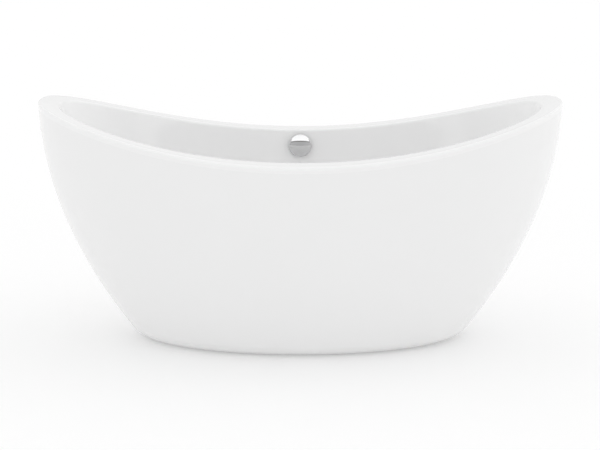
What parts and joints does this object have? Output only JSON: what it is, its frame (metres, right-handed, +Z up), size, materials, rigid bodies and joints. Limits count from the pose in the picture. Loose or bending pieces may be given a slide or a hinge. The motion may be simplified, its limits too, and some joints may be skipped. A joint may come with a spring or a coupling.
{
  "type": "freestanding bathtub",
  "caption": "Freestanding double-slipper bathtub: smooth oval shell with raised ends, flat rim, capped overflow, push-open waste and levelling feet on a hidden frame.",
  "frame": {"origin": "on the floor, under the middle of the tub's footprint", "axes": "+X along the tub, +Y towards the side with the overflow, +Z up"},
  "size_m": [1.4998, 0.7496, 0.7077],
  "materials": {
    "acrylic_basin": "polished white acrylic",
    "acrylic_skirt": "polished white acrylic",
    "chrome_trim": "polished chrome plate",
    "zinc_steel": "zinc-plated steel, dull",
    "spring_steel": "bright stainless wire",
    "brass": "turned brass",
    "rubber": "soft black rubber",
    "grey_plastic": "moulded grey waste fittings",
    "black_plastic": "moulded black plastic",
    "board": "waterproof board, sealed"
  },
  "bodies": {
    "tub": {"inner_basin": "acrylic_basin", "outer_skirt": "acrylic_skirt", "floor_board": "board", "frame_crossbar_left": "zinc_steel", "frame_crossbar_right": "zinc_steel", "frame_rail_front": "zinc_steel", "rail_end_cap_front_left": "black_plastic", "rail_end_cap_front_right": "black_plastic", "frame_rail_rear": "zinc_steel", "rail_end_cap_rear_left": "black_plastic", "rail_end_cap_rear_right": "black_plastic", "board_screw_1": "zinc_steel", "board_screw_2": "zinc_steel", "board_screw_3": "zinc_steel", "board_screw_4": "zinc_steel", "board_screw_5": "zinc_steel", "board_screw_6": "zinc_steel", "board_screw_7": "zinc_steel", "board_screw_8": "zinc_steel", "foot_1_locknut": "zinc_steel", "foot_2_locknut": "zinc_steel", "foot_3_locknut": "zinc_steel", "foot_4_locknut": "zinc_steel", "drain_gasket": "rubber", "drain_seal": "rubber", "drain_flange": "chrome_trim", "drain_shoe": "grey_plastic", "tailpiece": "grey_plastic", "tailpiece_nut": "grey_plastic", "plug_cartridge": "brass", "plug_spring": "spring_steel", "overflow_cap": "chrome_trim", "overflow_plate": "zinc_steel", "overflow_gasket": "rubber", "overflow_elbow": "grey_plastic", "overflow_screw": "zinc_steel", "overflow_hose": "grey_plastic", "hose_nut_upper": "grey_plastic", "hose_nut_lower": "grey_plastic"},
    "foot_1": {"foot_1_pad": "black_plastic", "foot_1_stud": "zinc_steel"},
    "foot_2": {"foot_2_pad": "black_plastic", "foot_2_stud": "zinc_steel"},
    "foot_3": {"foot_3_pad": "black_plastic", "foot_3_stud": "zinc_steel"},
    "foot_4": {"foot_4_pad": "black_plastic", "foot_4_stud": "zinc_steel"},
    "plug": {"plug_cap": "chrome_trim", "plug_seal": "rubber", "plug_sleeve": "brass"}
  },
  "joints": [
    {"name": "foot_1_height", "type": "slide", "parent": "tub", "child": "foot_1", "axis": [0, 0, -1], "range_m": [0, 0.015]},
    {"name": "foot_2_height", "type": "slide", "parent": "tub", "child": "foot_2", "axis": [0, 0, -1], "range_m": [0, 0.015]},
    {"name": "foot_3_height", "type": "slide", "parent": "tub", "child": "foot_3", "axis": [0, 0, -1], "range_m": [0, 0.015]},
    {"name": "foot_4_height", "type": "slide", "parent": "tub", "child": "foot_4", "axis": [0, 0, -1], "range_m": [0, 0.015]},
    {"name": "plug_lift", "type": "slide", "parent": "tub", "child": "plug", "axis": [0, 0, 1], "range_m": [0, 0.008], "deforming": ["plug_spring"]}
  ]
}
